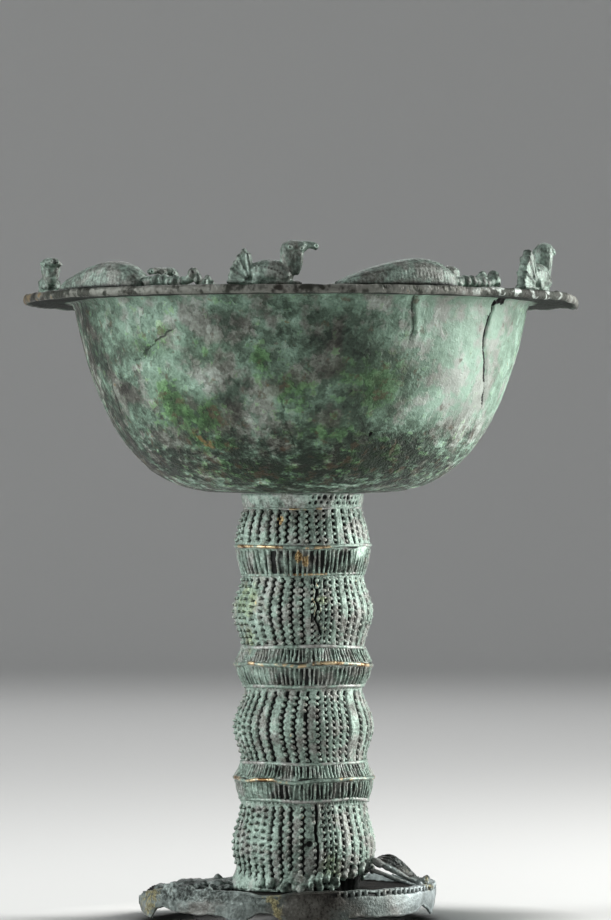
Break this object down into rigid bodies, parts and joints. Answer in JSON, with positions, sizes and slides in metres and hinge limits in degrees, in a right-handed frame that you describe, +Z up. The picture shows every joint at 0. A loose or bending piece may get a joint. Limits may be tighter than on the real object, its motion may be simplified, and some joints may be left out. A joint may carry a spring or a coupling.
{
  "type": "bronze ceremonial cup",
  "caption": "Round bronze bowl with a wide flat rim carrying small birds and tortoises, on a tall beaded stem and a low ragged foot; a standing ceremonial cup.",
  "frame": {"origin": "on the ground, straight below the centre of the rim", "axes": "+Z up along the bowl's axis; -Y is the side that the picture shows, +X is to its right"},
  "size_m": [0.2224, 0.2224, 0.269],
  "materials": {
    "dark_worn_bronze": "dark worn bronze with pale corrosion and yellow earth on its edges",
    "grey_green_bronze": "grey-green patinated cast bronze, rubbed golden on a few threads and beads",
    "green_patina_bronze": "mottled green, grey and dark patina on cast bronze, dull",
    "pale_grey_bronze": "pale grey-green patina on cast bronze, slightly glossy"
  },
  "bodies": {
    "root": {"foot": "dark_worn_bronze", "stem": "grey_green_bronze", "bowl": "green_patina_bronze", "bird_left": "pale_grey_bronze", "bird_front": "pale_grey_bronze", "bird_right": "pale_grey_bronze", "bird_back_right": "pale_grey_bronze", "bird_back_left": "pale_grey_bronze", "tortoise_front_left": "pale_grey_bronze", "tortoise_front_right": "pale_grey_bronze", "tortoise_back_right": "pale_grey_bronze", "tortoise_back_left": "pale_grey_bronze"}
  },
  "joints": []
}
